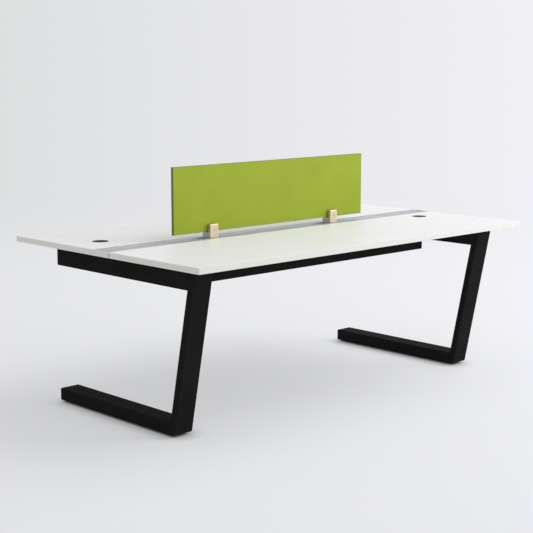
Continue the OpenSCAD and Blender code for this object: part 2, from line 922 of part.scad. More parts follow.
// Rubber angle behind and under the screen in each clamp
module clamp_liners() {
    color(RUBBER)
        for (x = clamp_xs)
            translate([x, 0, 0])
                along_x(clamp_w - 2) {
                    translate([screen_t / 2, clamp_floor_z])
                        square([liner_t, clamp_z + clamp_h - clamp_floor_z - 3]);
                    translate([-screen_t / 2, clamp_floor_z]) square([screen_t + eps, liner_t]);
                }
}

// Nuts that slide in the rail's slot and hold the clamps down
module clamp_slot_nuts() {
    neck_top = channel_z + clear;
    color(STEEL)
        for (x = clamp_xs)
            translate([x, 0, 0])
                difference() {
                    union() {
                        translate([-nut_l / 2, clear - slot_w / 2, slot_floor_z + clear])
                            cube([nut_l, slot_w - 2 * clear, slot_h - 2 * clear]);
                        translate([-nut_l / 2, clear - mouth_w / 2, slot_top_z - 2 * clear])
                            cube([nut_l, mouth_w - 2 * clear, neck_top - slot_top_z + 2 * clear]);
                    }
                    translate([0, 0, slot_floor_z]) cylinder(d = base_screw_d + 0.1, h = nut_l);
                }
}

module clamp_base_screws() {
    seat_z = clamp_floor_z - base_head_h - 1;
    tip_z = slot_floor_z + 1;
    color(STEEL)
        for (x = clamp_xs)
            translate([x, 0, 0])
                difference() {
                    union() {
                        translate([0, 0, seat_z]) cylinder(d = base_head_d, h = base_head_h);
                        translate([0, 0, tip_z]) cylinder(d = base_screw_d, h = seat_z - tip_z + eps);
                    }
                    translate([0, 0, seat_z + base_head_h - 3]) cylinder(d = 5.8, h = 4, $fn = 6);
                }
}

// Clamp screw along +Y: flat head in the front jaw, shank through it and the pad on its tip
module grip_screw(x) {
    head_y = clamp_front_y + grip_head_t;
    tip_y = -screen_t / 2 - clear - pad_t;
    color(CHAMPAGNE)
        translate([x, 0, grip_z])
            rotate([-90, 0, 0])
                difference() {
                    union() {
                        translate([0, 0, head_y - grip_head_t]) cylinder(d = grip_head_d, h = grip_head_t);
                        translate([0, 0, head_y - eps]) cylinder(d = grip_d, h = tip_y - head_y + eps);
                    }
                    translate([0, 0, head_y - grip_head_t - eps]) cylinder(d = 5.8, h = 4, $fn = 6);
                }
}

module grip_pad(x) {
    color(RUBBER)
        translate([x, -screen_t / 2 - clear, grip_z])
            rotate([90, 0, 0])
                cylinder(r = pad_r, h = pad_t);
}

module left_grip_screw() { grip_screw(clamp_xs[0]); }
module right_grip_screw() { grip_screw(clamp_xs[1]); }
module left_grip_pad() { grip_pad(clamp_xs[0]); }
module right_grip_pad() { grip_pad(clamp_xs[1]); }

front_top();
rear_top();
front_edge_band();
rear_edge_band();
centre_rail();
left_rail_cap();
right_rail_cap();
rail_cap_screws();
joining_plates();
rail_bolts();
rail_slot_nuts();
left_beam();
left_leg();
left_foot();
left_beam_cap();
left_foot_cap();
right_beam();
right_leg();
right_foot();
right_beam_cap();
right_foot_cap();
front_crossbeam();
rear_crossbeam();
crossbeam_plates();
top_cleats();
frame_bolts();
front_cable_tray();
rear_cable_tray();
tray_end_plates();
tray_hangers();
tray_screws();
glide_inserts();
front_left_glide();
rear_left_glide();
front_right_glide();
rear_right_glide();
front_grommet_liner();
front_grommet_lid();
front_grommet_shutter();
rear_grommet_liner();
rear_grommet_lid();
rear_grommet_shutter();
screen_panel();
screen_trim();
left_clamp();
right_clamp();
clamp_liners();
clamp_slot_nuts();
clamp_base_screws();
left_grip_screw();
right_grip_screw();
left_grip_pad();
right_grip_pad();
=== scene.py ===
"""Looks of the bench desk: finishes for the CAD pieces, and new pieces where the real one has more detail.

Everything is in metres, in the CAD part's own frame: X along the desk, -Y at the front, Z up.
"""
import json
import math

import bmesh
import bpy
from mathutils import Matrix, Vector


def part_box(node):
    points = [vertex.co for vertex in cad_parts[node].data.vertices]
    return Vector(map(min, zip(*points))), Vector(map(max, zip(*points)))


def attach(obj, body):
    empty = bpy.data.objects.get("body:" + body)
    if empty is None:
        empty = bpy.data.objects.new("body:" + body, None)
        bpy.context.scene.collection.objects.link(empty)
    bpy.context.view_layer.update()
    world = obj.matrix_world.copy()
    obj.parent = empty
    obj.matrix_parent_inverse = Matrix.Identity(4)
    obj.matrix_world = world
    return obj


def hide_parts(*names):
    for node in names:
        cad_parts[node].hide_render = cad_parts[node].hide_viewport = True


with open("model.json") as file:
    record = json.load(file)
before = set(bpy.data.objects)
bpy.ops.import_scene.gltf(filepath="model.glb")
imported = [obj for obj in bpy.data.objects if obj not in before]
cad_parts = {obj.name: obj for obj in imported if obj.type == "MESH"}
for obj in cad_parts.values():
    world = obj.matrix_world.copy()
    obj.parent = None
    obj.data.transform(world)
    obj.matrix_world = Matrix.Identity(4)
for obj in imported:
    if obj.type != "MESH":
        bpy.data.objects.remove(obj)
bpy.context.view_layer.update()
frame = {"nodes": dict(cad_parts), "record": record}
nodes = frame["nodes"]
MM = 0.001


# Colours and nodes

def from_hex(text):
    """sRGB hex to the linear colour that the shaders read."""
    levels = [int(text[i:i + 2], 16) / 255 for i in (1, 3, 5)]
    linear = [c / 12.92 if c <= 0.04045 else ((c + 0.055) / 1.055) ** 2.4 for c in levels]
    return (*linear, 1.0)


def add(tree, kind, links=None, **settings):
    """Adds one node. settings are its properties or socket values, links are socket: output pairs."""
    made = tree.nodes.new(kind)
    for name, value in settings.items():
        if hasattr(made, name):
            setattr(made, name, value)
        else:
            made.inputs[name.replace("_", " ")].default_value = value
    for socket, output in (links or {}).items():
        tree.links.new(output, made.inputs[socket])
    return made


def new_material(name, base, roughness, metallic=0.0, **shader_settings):
    """A material with one Principled shader. Returns the material, its tree and the shader."""
    made = bpy.data.materials.new(name)
    made.use_nodes = True
    tree = made.node_tree
    shader = tree.nodes["Principled BSDF"]
    shader.inputs["Base Color"].default_value = from_hex(base)
    shader.inputs["Roughness"].default_value = roughness
    shader.inputs["Metallic"].default_value = metallic
    for socket, value in shader_settings.items():
        shader.inputs[socket.replace("_", " ")].default_value = value
    return made, tree, shader


def noise_of(tree, grain_mm, stretch=(1, 1, 1), detail=2.0):
    """Noise on Object coordinates whose grains measure grain_mm, drawn out along an axis by stretch."""
    place = add(tree, "ShaderNodeTexCoord")
    scaled = add(tree, "ShaderNodeMapping", {"Vector": place.outputs["Object"]},
                 Scale=[1 / s for s in stretch])
    return add(tree, "ShaderNodeTexNoise", {"Vector": scaled.outputs["Vector"]},
               Scale=1 / (grain_mm * MM), Detail=detail, Roughness=0.5).outputs["Fac"]


def spread(tree, value, low, high, from_low=0.3, from_high=0.7):
    """Maps a pattern's middle range onto low to high."""
    return add(tree, "ShaderNodeMapRange", {"Value": value}, From_Min=from_low, From_Max=from_high,
               To_Min=low, To_Max=high).outputs["Result"]


def tint(tree, value, dark, light):
    """Mixes two colours by a pattern."""
    mixed = add(tree, "ShaderNodeMix", {"Factor": value}, data_type="RGBA")
    colour_a, colour_b, colour_out = 6, 7, 2
    mixed.inputs[colour_a].default_value = from_hex(dark)
    mixed.inputs[colour_b].default_value = from_hex(light)
    return mixed.outputs[colour_out]


def bump(tree, shader, height, depth_mm, strength):
    """Raises the surface by a pattern, up to depth_mm."""
    made = add(tree, "ShaderNodeBump", {"Height": height}, Strength=strength, Distance=depth_mm * MM)
    tree.links.new(made.outputs["Normal"], shader.inputs["Normal"])


def white_melamine():
    """Melamine-faced chipboard, pressed on a pearl-textured plate: matt, soft white, with fine dimples."""
    made, tree, shader = new_material("white_melamine", "#E9E9E9", 0.42, Specular_IOR_Level=0.4)
    mottle = noise_of(tree, 220, detail=2)
    tree.links.new(tint(tree, spread(tree, mottle, 0, 1), "#E7E7E8", "#EBEBEB"), shader.inputs["Base Color"])
    pearl = noise_of(tree, 1.6, detail=2)
    tree.links.new(spread(tree, pearl, 0.36, 0.50), shader.inputs["Roughness"])
    bump(tree, shader, pearl, 0.03, strength=0.6)
    return made


def grey_edge_band():
    """Extruded ABS edging, two millimetres thick: satin, a shade greyer than the board, with draw lines."""
    made, tree, shader = new_material("grey_abs_edge_band", "#E3E1DD", 0.42)
    lines = noise_of(tree, 1.2, stretch=(60, 60, 1), detail=2)
    tree.links.new(tint(tree, spread(tree, lines, 0, 1), "#E0DEDA", "#E6E4E0"), shader.inputs["Base Color"])
    tree.links.new(spread(tree, lines, 0.32, 0.46), shader.inputs["Roughness"])
    bump(tree, shader, lines, 0.02, strength=0.4)
    return made


def anodised_aluminium():
    """Extruded aluminium, natural anodised: satin, with die lines along its length."""
    made, tree, shader = new_material("natural_anodised_aluminium", "#B5B8BA", 0.5, metallic=1.0)
    die_lines = noise_of(tree, 0.9, stretch=(400, 1, 1), detail=3)
    cloud = noise_of(tree, 120, detail=2)
    tree.links.new(tint(tree, spread(tree, cloud, 0, 1), "#B0B3B5", "#BABDBF"), shader.inputs["Base Color"])
    tree.links.new(spread(tree, die_lines, 0.42, 0.60), shader.inputs["Roughness"])
    bump(tree, shader, die_lines, 0.02, strength=0.5)
    return made


def black_powder_coat():
    """Polyester powder coat on steel: black and matt, with the fine orange peel of a stoved coat."""
    made, tree, shader = new_material("black_powder_coat", "#1C1C1B", 0.8, Specular_IOR_Level=0.03)
    peel = noise_of(tree, 1.1, detail=2)
    cloud = noise_of(tree, 160, detail=3)
    tree.links.new(tint(tree, spread(tree, cloud, 0, 1), "#1A1A19", "#1F1F1E"), shader.inputs["Base Color"])
    tree.links.new(spread(tree, peel, 0.72, 0.86), shader.inputs["Roughness"])
    bump(tree, shader, peel, 0.05, strength=0.7)
    return made


def black_polyamide():
    """Injection-moulded polyamide with a fine spark-eroded texture: matt black."""
    made, tree, shader = new_material("black_moulded_polyamide", "#101010", 0.58, Specular_IOR_Level=0.08)
    grit = noise_of(tree, 0.5, detail=1)
    tree.links.new(tint(tree, spread(tree, grit, 0, 1), "#0E0E0E", "#131313"), shader.inputs["Base Color"])
    bump(tree, shader, grit, 0.04, strength=0.6)
    return made


def zinc_plate():
    """Bright zinc plate on steel fixings: a soft blue-grey metal, patchy where it was barrelled."""
    made, tree, shader = new_material("bright_zinc_plate", "#A9ADB0", 0.36, metallic=1.0)
    patch = noise_of(tree, 3, detail=3)
    tree.links.new(tint(tree, spread(tree, patch, 0, 1), "#9B9FA4", "#B8BBBC"), shader.inputs["Base Color"])
    tree.links.new(spread(tree, patch, 0.28, 0.48), shader.inputs["Roughness"])
    return made


def maroon_abs():
    """Moulded ABS, almost black with a maroon cast: satin, with a fine texture."""
    made, tree, shader = new_material("dark_maroon_abs", "#300A0A", 0.7, Specular_IOR_Level=0.12)
    grit = noise_of(tree, 0.6, detail=1)
    tree.links.new(tint(tree, spread(tree, grit, 0, 1), "#2B0809", "#360C0C"), shader.inputs["Base Color"])
    tree.links.new(spread(tree, grit, 0.64, 0.78), shader.inputs["Roughness"])
    bump(tree, shader, grit, 0.03, strength=0.5)
    return made


def green_laminate():
    """Olive green laminate on the screen board: matt, evenly coloured, with a fine pressed texture."""
    made, tree, shader = new_material("olive_green_laminate", "#9BAB2B", 0.5, Specular_IOR_Level=0.2)
    mottle = noise_of(tree, 140, detail=3)
    tree.links.new(tint(tree, spread(tree, mottle, 0, 1), "#98A828", "#9EAE2E"), shader.inputs["Base Color"])
    pearl = noise_of(tree, 1.3, detail=2)
    tree.links.new(spread(tree, pearl, 0.44, 0.58), shader.inputs["Roughness"])
    bump(tree, shader, pearl, 0.03, strength=0.6)
    return made


def olive_edging():
    """Thin ABS edging of the screen, a dark olive."""
    made, tree, shader = new_material("dark_olive_abs_edging", "#5F6428", 0.42)
    lines = noise_of(tree, 0.8, stretch=(60, 1, 60), detail=2)
    tree.links.new(tint(tree, spread(tree, lines, 0, 1), "#5A5F25", "#656A2C"), shader.inputs["Base Color"])
    tree.links.new(spread(tree, lines, 0.36, 0.50), shader.inputs["Roughness"])
    return made


def champagne_aluminium():
    """Brushed aluminium under a champagne lacquer: warm and satin, with fine upright brush marks."""
    made, tree, shader = new_material("champagne_lacquered_aluminium", "#C8BC9F", 0.4, metallic=0.6)
    brushed = noise_of(tree, 0.5, stretch=(1, 1, 80), detail=3)
    tree.links.new(tint(tree, spread(tree, brushed, 0, 1), "#C0B395", "#D0C4A9"), shader.inputs["Base Color"])
    tree.links.new(spread(tree, brushed, 0.34, 0.48), shader.inputs["Roughness"])
    bump(tree, shader, brushed, 0.02, strength=0.4)
    return made


def black_rubber():
    """Moulded black rubber with a dull bloom."""
    made, tree, shader = new_material("black_rubber", "#1B1B1B", 0.75, Specular_IOR_Level=0.3)
    bloom = noise_of(tree, 6, detail=4)
    tree.links.new(tint(tree, spread(tree, bloom, 0, 1), "#171717", "#232322"), shader.inputs["Base Color"])
    bump(tree, shader, noise_of(tree, 0.5, detail=1), 0.03, strength=0.5)
    return made


FINISH = {
    "white_laminate": white_melamine(),
    "pale_grey_plastic": grey_edge_band(),
    "anodised_rail": anodised_aluminium(),
    "black_powder_coat": black_powder_coat(),
    "black_moulding": black_polyamide(),
    "zinc_fixings": zinc_plate(),
    "maroon_moulding": maroon_abs(),
    "green_screen": green_laminate(),
    "olive_trim": olive_edging(),
    "champagne_aluminium": champagne_aluminium(),
    "black_rubber": black_rubber(),
}
SLOT_OF = {part["node"]: part["material_slot"] for part in frame["record"]["subparts"]}
BODY_OF = {node: body for body, members in frame["record"]["behaviour"]["bodies"].items() for node in members}

for node, piece in nodes.items():
    piece.data.materials.clear()
    piece.data.materials.append(FINISH[SLOT_OF[node]])


# Helpers for the new pieces

SAME_POINT = 2e-6
IN_PLANE = math.radians(0.5)
LEVEL = math.radians(1)
EASED_FROM = math.radians(35)
SHARP = math.radians(50)
FLAT_RATIO = 2.5


def lies_flat(face):
    """Whether a face is much larger than each face that curves away from it."""
    beside = [other for edge in face.edges for other in edge.link_faces
              if other is not face and LEVEL < edge.calc_face_angle(0) < SHARP]
    return all(face.calc_area() > FLAT_RATIO * other.calc_area() for other in beside)


def flat_faces(bm):
    """The faces that lie flat, and those that are level with one of them beside it."""
    flat = {face for face in bm.faces if lies_flat(face)}
    waiting = list(flat)
    while waiting:
        for edge in waiting.pop().edges:
            for face in set(edge.link_faces) - flat:
                if edge.calc_face_angle(math.pi) < LEVEL:
                    flat.add(face)
                    waiting.append(face)
    return flat


def finish_piece(name, bm, slot, body, replaces=()):
    """Turns a bmesh into a piece on a body, with its finish. Flat faces are shaded flat beside round ones."""
    bmesh.ops.recalc_face_normals(bm, faces=bm.faces)
    flat = flat_faces(bm)
    smooth = [face not in flat for face in bm.faces]
    mesh = bpy.data.meshes.new(name)
    bm.to_mesh(mesh)
    bm.free()
    mesh.materials.append(FINISH[slot])
    # The stored normals of a copied CAD node don't fit its new faces
    if "custom_normal" in mesh.attributes:
        mesh.attributes.remove(mesh.attributes["custom_normal"])
    mesh.set_sharp_from_angle(angle=SHARP)
    mesh.polygons.foreach_set("use_smooth", smooth)
    piece = bpy.data.objects.new(name, mesh)
    bpy.context.scene.collection.objects.link(piece)
    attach(piece, body)
    if replaces:
        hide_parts(*replaces)


def merged(node):
    """A copy of a CAD node as one closed skin, with its flat faces whole."""
    bm = bmesh.new()
    bm.from_mesh(nodes[node].data)
    bmesh.ops.remove_doubles(bm, verts=bm.verts, dist=SAME_POINT)
    bmesh.ops.dissolve_limit(bm, angle_limit=IN_PLANE, verts=bm.verts, edges=bm.edges)
    return bm


def runs_along(edge, axis, closeness):
    """Whether an edge runs along an axis, 0 to 2."""
    return abs((edge.verts[1].co - edge.verts[0].co).normalized()[axis]) > closeness


def ease(bm, width_mm, segments=2, axis=None):
    """Rounds the sharp edges over a small width, as deburring or a mould leaves them.

    With an axis, only the edges along it are rounded.
    """
    sharp = [e for e in bm.edges if e.is_manifold and e.calc_face_angle(0) > EASED_FROM
             and (axis is None or runs_along(e, axis, 0.99))]
    bmesh.ops.bevel(bm, geom=sharp, offset=width_mm * MM, offset_type="OFFSET", segments=segments,
                    profile=0.5, affect="EDGES", clamp_overlap=True, material=-1)
    bmesh.ops.dissolve_degenerate(bm, dist=1e-6, edges=bm.edges)


def eased(node, width_mm, segments=2, axis=None):
    """A CAD node again, with its edges eased."""
    bm = merged(node)
    ease(bm, width_mm, segments, axis)
    finish_piece(node + "_eased", bm, SLOT_OF[node], BODY_OF[node], [node])


def spun(profile, segments):
    """A solid turned about Z from (radius, height) points in millimetres."""
    bm = bmesh.new()
    points = [bm.verts.new((r * MM, 0, z * MM)) for r, z in profile]
    line = [bm.edges.new(pair) for pair in zip(points, points[1:])]
    bmesh.ops.spin(bm, geom=points + line, cent=(0, 0, 0), axis=(0, 0, 1), angle=math.tau, steps=segments,
                   use_merge=True)
    bmesh.ops.remove_doubles(bm, verts=bm.verts, dist=1e-6)
    return bm


def set_at(part, places):
    """One bmesh that holds a copy of the part at each place."""
    template = bpy.data.meshes.new("template")
    part.to_mesh(template)
    part.free()
    bm = bmesh.new()
    for place in places:
        first = len(bm.verts)
        bm.from_mesh(template)
        bm.verts.ensure_lookup_table()
        bmesh.ops.transform(bm, matrix=place, verts=bm.verts[first:])
    bpy.data.meshes.remove(template)
    return bm


def place_at(x, y, z, facing="Z", turn_deg=0.0):
    """A place in millimetres for a part whose +Z is turned to face X, Y, Z, -X, -Y or -Z."""
    towards = {"X": (1, 0, 0), "Y": (0, 1, 0), "Z": (0, 0, 1)}[facing[-1]]
    towards = Vector(towards) * (-1 if facing[0] == "-" else 1)
    turn = towards.to_track_quat("Z", "Y").to_matrix().to_4x4()
    return Matrix.Translation(Vector((x, y, z)) * MM) @ turn @ Matrix.Rotation(math.radians(turn_deg), 4, "Z")


def both(*values):
    """Each value and its negative."""
    return [sign * value for value in values for sign in (-1, 1)]


def wood_screw(head_r=4.6, head_h=2.8, drive_r=2.0, drive_depth=1.7, shank_r=2.2, shank=12.0, tip=3.0):
    """A pan-head screw with a six-lobed drive, standing on z 0 with its shank below."""
    lobes, lobe_share = 6, 0.16
    floor_z = head_h - drive_depth
    drive = [(0, floor_z), (drive_r, floor_z), (drive_r, head_h - 0.1), (drive_r + 0.2, head_h)]
    head = [(0.62 * head_r, 0.97 * head_h), (0.84 * head_r, 0.78 * head_h), (0.97 * head_r, 0.42 * head_h),
            (head_r, 0.14 * head_h), (0.97 * head_r, 0)]
    bm = spun([*drive, *head, (shank_r, 0), (shank_r, tip - shank), (0, -shank)], segments=36)
    for vert in bm.verts:
        if 0.5 * drive_r * MM < vert.co.xy.length < (drive_r + 0.3) * MM:
            reach = 1 + lobe_share * math.cos(lobes * math.atan2(vert.co.y, vert.co.x))
            vert.co.xy *= reach
    return bm


def dome_rivet(head_r=3.4, head_h=1.3, pit_depth=0.5, shank_r=1.6, shank=2.0):
    """A blind rivet's domed head with the small pit of its snapped pin."""
    pit_z = head_h - pit_depth
    dome = [(1.0, head_h), (0.5 * head_r, 0.92 * head_h), (0.8 * head_r, 0.6 * head_h),
            (0.97 * head_r, 0.18 * head_h), (head_r, 0)]
    return spun([(0, pit_z), (0.9, pit_z), *dome, (shank_r, 0), (shank_r, -shank), (0, -shank)], segments=24)


def weld_bead(length, radius, pitch=1.7, dip=0.86):
    """A fillet bead along X, half sunk into the corner it fills, with its ripples drawn a little coarse."""
    bm = bmesh.new()
    bmesh.ops.create_circle(bm, segments=12, radius=radius * MM, matrix=Matrix.Rotation(math.pi / 2, 4, "Y"))
    steps = 2 * round(length / pitch)
    step = length / steps * MM
    bmesh.ops.translate(bm, vec=(-length / 2 * MM, 0, 0), verts=bm.verts)
    bmesh.ops.spin(bm, geom=bm.verts[:] + bm.edges[:], cent=(0, 0, 0), axis=(1, 0, 0), dvec=(step, 0, 0),
                   angle=0, steps=steps)
    bmesh.ops.remove_doubles(bm, verts=bm.verts, dist=1e-6)
    low = [v for v in bm.verts if round((v.co.x + length / 2 * MM) / step) % 2 == 0]
    bmesh.ops.scale(bm, vec=(1, dip, dip), verts=low)
    bmesh.ops.holes_fill(bm, edges=[e for e in bm.edges if e.is_boundary], sides=0)
    return bm


def box_between(low, high):
    """A bmesh box between two corners."""
    bm = bmesh.new()
    bmesh.ops.create_cube(bm, size=1)
    size = [h - l for l, h in zip(low, high)]
    bmesh.ops.scale(bm, vec=size, verts=bm.verts)
    bmesh.ops.translate(bm, vec=[(l + h) / 2 for l, h in zip(low, high)], verts=bm.verts)
    return bm


def edges_along(bm, axis):
    """The edges that run along an axis, 0 to 2."""
    return [edge for edge in bm.edges if runs_along(edge, axis, 0.999)]


def ring_strip(node, thickness, corner, arris, flat_axis):
    """An edge strip round a panel: its outer corners are round and its outer edges eased.

    flat_axis is the axis across the panel's faces, and the panel fills the inside.
    """
    low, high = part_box(node)
    bm = box_between(low, high)
    bmesh.ops.bevel(bm, geom=edges_along(bm, flat_axis), offset=corner, segments=6, profile=0.5,
                    affect="EDGES", material=-1)
    faces = [f for f in bm.faces if abs(f.normal[flat_axis]) > 0.999]
    rims = [e for f in faces for e in f.edges]
    bmesh.ops.bevel(bm, geom=rims, offset=arris, segments=3, profile=0.5, affect="EDGES", material=-1)
    faces = [f for f in bm.faces if abs(f.normal[flat_axis]) > 0.999]
    bmesh.ops.inset_region(bm, faces=faces, thickness=thickness - arris, use_even_offset=True)
    rims = [e for f in faces for e in f.edges]
    bmesh.ops.delete(bm, geom=faces, context="FACES_ONLY")
    bmesh.ops.bridge_loops(bm, edges=[e for e in rims if e.is_valid])
    finish_piece(node + "_rounded", bm, SLOT_OF[node], BODY_OF[node], [node])


X, Y, Z = 0, 1, 2

# Worktops: the boards keep their CAD shape, and the edge bands get their rounded arrises
BAND = 2 * MM
BAND_CORNER = 4 * MM
BAND_ARRIS = 1.2 * MM
for node in ("front_edge_band", "rear_edge_band"):
    ring_strip(node, BAND, BAND_CORNER, BAND_ARRIS, flat_axis=Z)

# Screen: the board keeps its CAD shape, with a thin edging round it
SCREEN_EDGING = 0.8 * MM
SCREEN_ARRIS = 0.3 * MM
ring_strip("screen_trim", SCREEN_EDGING, SCREEN_EDGING, SCREEN_ARRIS, flat_axis=Y)

# Rail: the extrusion's edges along its length are eased, as the die leaves them
DIE_ROUND = 0.35
MOULD_ROUND = 0.4
eased("centre_rail", DIE_ROUND, axis=X)
for node in ("left_rail_cap", "right_rail_cap"):
    eased(node, MOULD_ROUND)

# The rail caps are held by screws with painted heads
finish_piece("rail_cap_screws_painted", merged("rail_cap_screws"), "pale_grey_plastic", "desk",
             ["rail_cap_screws"])

# Joining plates, cleats and end plates are cut and deburred, and trays and hangers are folded from sheet
DEBURRED = 0.4
SCREW_ROUND = 0.25
FOLD_ROUND = 0.7
for node in ("joining_plates", "top_cleats", "crossbeam_plates"):
    eased(node, DEBURRED)
for node in ("frame_bolts", "tray_screws", "left_grip_screw", "right_grip_screw"):
    eased(node, SCREW_ROUND)
for side in ("front", "rear"):
    eased(side + "_grommet_liner", MOULD_ROUND)
    eased(side + "_grommet_lid", MOULD_ROUND)
    eased(side + "_grommet_shutter", SCREW_ROUND)
for node in ("front_cable_tray", "rear_cable_tray", "tray_hangers"):
    eased(node, FOLD_ROUND, segments=3, axis=X)

# Frames: the moulded caps have eased rims, and a fillet bead fills each inner corner
CAP_ROUND = 0.8
FRAME_X = 920
ELBOW = (-466.2, 631.0)
INSTEP = (-350.8, 64.0)
CORNER_BEAD = 88
CORNER_BEAD_R = 3.0
for node in ("left_beam_cap", "left_foot_cap", "right_beam_cap", "right_foot_cap"):
    eased(node, CAP_ROUND)
places = [place_at(x, y, z) for x in both(FRAME_X) for y, z in (ELBOW, INSTEP)]
corners = set_at(weld_bead(CORNER_BEAD, CORNER_BEAD_R), places)
finish_piece("frame_corner_welds", corners, "black_powder_coat", "desk")

# Crossbeams: beads join the tubes to their end plates, below and on both sides
PLATE_X = 864
CROSSBEAM_Y = 326
CROSSBEAM_SIDES = (296, 356)
CROSSBEAM_BOTTOM = 685
CROSSBEAM_MIDDLE = 705
TUBE_BEAD_R = 2.4
BOTTOM_BEAD = 50
SIDE_BEAD = 32
places = [place_at(x, y, CROSSBEAM_BOTTOM, turn_deg=90) for x in both(PLATE_X) for y in both(CROSSBEAM_Y)]
below = set_at(weld_bead(BOTTOM_BEAD, TUBE_BEAD_R), places)
finish_piece("crossbeam_bottom_welds", below, "black_powder_coat", "desk")
upright = Matrix.Rotation(math.pi / 2, 4, "Y")
places = [Matrix.Translation(Vector((x, y, CROSSBEAM_MIDDLE)) * MM) @ upright
          for x in both(PLATE_X) for y in both(*CROSSBEAM_SIDES)]
beside = set_at(weld_bead(SIDE_BEAD, TUBE_BEAD_R), places)
finish_piece("crossbeam_side_welds", beside, "black_powder_coat", "desk")

# Wood screws hold the joining plates, cleats and hangers up on the worktops' undersides. Their heads sit on
# each part's lower face, z, and each screw has stopped at an angle of its own
PLATES = dict(x=both(217.5, 652.5), y=both(94), z=722)
CLEATS = dict(x=both(846.4), y=(-391, 117), along=both(12.5), z=721)
HANGERS = dict(x=(-466.7, 0, 466.7), y=both(142), z=723)
places = [place_at(x, y, PLATES["z"], "-Z", 17 * x) for x in PLATES["x"] for y in PLATES["y"]]
places += [place_at(x, y + along, CLEATS["z"], "-Z", 31 * along)
           for x in CLEATS["x"] for y in CLEATS["y"] for along in CLEATS["along"]]
places += [place_at(x, y, HANGERS["z"], "-Z", 7 * x) for x in HANGERS["x"] for y in HANGERS["y"]]
finish_piece("wood_screws", set_at(wood_screw(), places), "zinc_fixings", "desk")

# Blind rivets, set before the coat, hold the low walls to the hangers and the tall walls to the end plates
STRAP_Y = 154
STRAP_RIVETS_Z = (646, 668)
TALL_WALL_Y = 296
TALL_WALL_RIVETS_X = 676
TALL_WALL_RIVETS_Z = (625, 640)
places = [place_at(x, side * STRAP_Y, z, facing)
          for x in HANGERS["x"] for side, facing in ((-1, "Y"), (1, "-Y")) for z in STRAP_RIVETS_Z]
places += [place_at(x, side * TALL_WALL_Y, z, facing) for x in both(TALL_WALL_RIVETS_X)
           for side, facing in ((-1, "-Y"), (1, "Y")) for z in TALL_WALL_RIVETS_Z]
finish_piece("tray_rivets", set_at(dome_rivet(), places), "black_powder_coat", "desk")

# The end plates' tabs, folded in behind the tall walls, which the rivets go through
TAB_HALF = Vector((19, 1, 18)) * MM
TAB_AT = (679, 293, 633.5)
TAB_CORNER = 3 * MM
tab = box_between(-TAB_HALF, TAB_HALF)
bmesh.ops.bevel(tab, geom=edges_along(tab, Y), offset=TAB_CORNER, segments=4, profile=0.5, affect="EDGES",
                material=-1)
places = [place_at(x, y, TAB_AT[Z]) for x in both(TAB_AT[X]) for y in both(TAB_AT[Y])]
finish_piece("tray_end_tabs", set_at(tab, places), "black_powder_coat", "desk")

# Glides: a moulded pad on a threaded stud
PAD = [(0, 0.8), (14.5, 0.8), (15.5, 0), (18.6, 0), (19.6, 0.6), (20, 1.8), (19.7, 4.6), (18.6, 5.8),
       (12.4, 6.6), (11.4, 7.2), (10.6, 7.7), (0, 7.7)]
THREAD_PITCH = 1.5
THREAD_FROM = 8.4
CREST_R = 4.9
ROOT_R = 4.2
TIP_R = 3.6
STUD_FROM = 7.4
STUD_TOP = 36.0
turns = int((STUD_TOP - THREAD_FROM) / THREAD_PITCH)
thread = [(r, THREAD_FROM + THREAD_PITCH * (turn + share))
          for turn in range(turns) for r, share in ((CREST_R, 0.25), (ROOT_R, 0.75))]
STUD = [(0, STUD_FROM), (ROOT_R, STUD_FROM), (ROOT_R, THREAD_FROM), *thread, (TIP_R, STUD_TOP), (0, STUD_TOP)]
for node in ("front_left_glide", "front_right_glide", "rear_left_glide", "rear_right_glide"):
    low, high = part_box(node)
    middle = [place_at((low[X] + high[X]) / 2 / MM, (low[Y] + high[Y]) / 2 / MM, 0)]
    pad = set_at(spun(PAD, segments=48), middle)
    stud = set_at(spun(STUD, segments=24), middle)
    finish_piece(node + "_pad", pad, "black_moulding", BODY_OF[node], [node])
    finish_piece(node + "_stud", stud, "zinc_fixings", BODY_OF[node], [node])

# Clamps: a champagne front jaw with a rounded head, on a base of plain anodised aluminium with its rear jaw.
# The small rounding of the CAD node's head is drawn out CROWN times
JAW_BACK = -9.98 * MM
CAD_ROUND = 1.6 * MM
CROWN = 4
CLAMP_ROUND = 0.5
for node in ("left_clamp", "right_clamp"):
    low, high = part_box(node)
    jaw = merged(node)
    crown = [v for v in jaw.verts if v.co.y < low[Y] + CAD_ROUND and v.co.z > high[Z] - CAD_ROUND]
    bmesh.ops.scale(jaw, vec=(1, CROWN, CROWN), verts=crown, space=Matrix.Translation((0, -low[Y], -high[Z])))
    ease(jaw, CLAMP_ROUND)
    base = jaw.copy()
    for part, is_jaw in ((jaw, True), (base, False)):
        cut = bmesh.ops.bisect_plane(part, geom=part.verts[:] + part.edges[:] + part.faces[:],
                                     plane_co=(0, JAW_BACK, 0), plane_no=(0, 1, 0), clear_outer=is_jaw,
                                     clear_inner=not is_jaw)
        rim = [e for e in cut["geom_cut"] if isinstance(e, bmesh.types.BMEdge) and e.is_boundary]
        bmesh.ops.triangle_fill(part, edges=rim, use_beauty=True, use_dissolve=False)
    finish_piece(node + "_jaw", jaw, "champagne_aluminium", BODY_OF[node], [node])
    finish_piece(node + "_base", base, "anodised_rail", BODY_OF[node], [node])


# Floor, light and camera

KEY_SIDE = Vector((0.965, -0.262, 0.0))
# FLOOR_DIM to FLOOR_LIT over GRADE_REACH is a painted gradient of light on the floor, lighter towards the key
# light
FLOOR_DIM = "#E0E1E3"
FLOOR_LIT = "#E6E6EA"
GRADE_REACH = 2.6
PLAIN_SHARE = 0.53
# How far the painted contact shadow on the floor reaches
PAINTED_CONTACT_SHADE_REACH = 0.07
FADE_FROM = 3.0
FADE_TO = 9.0


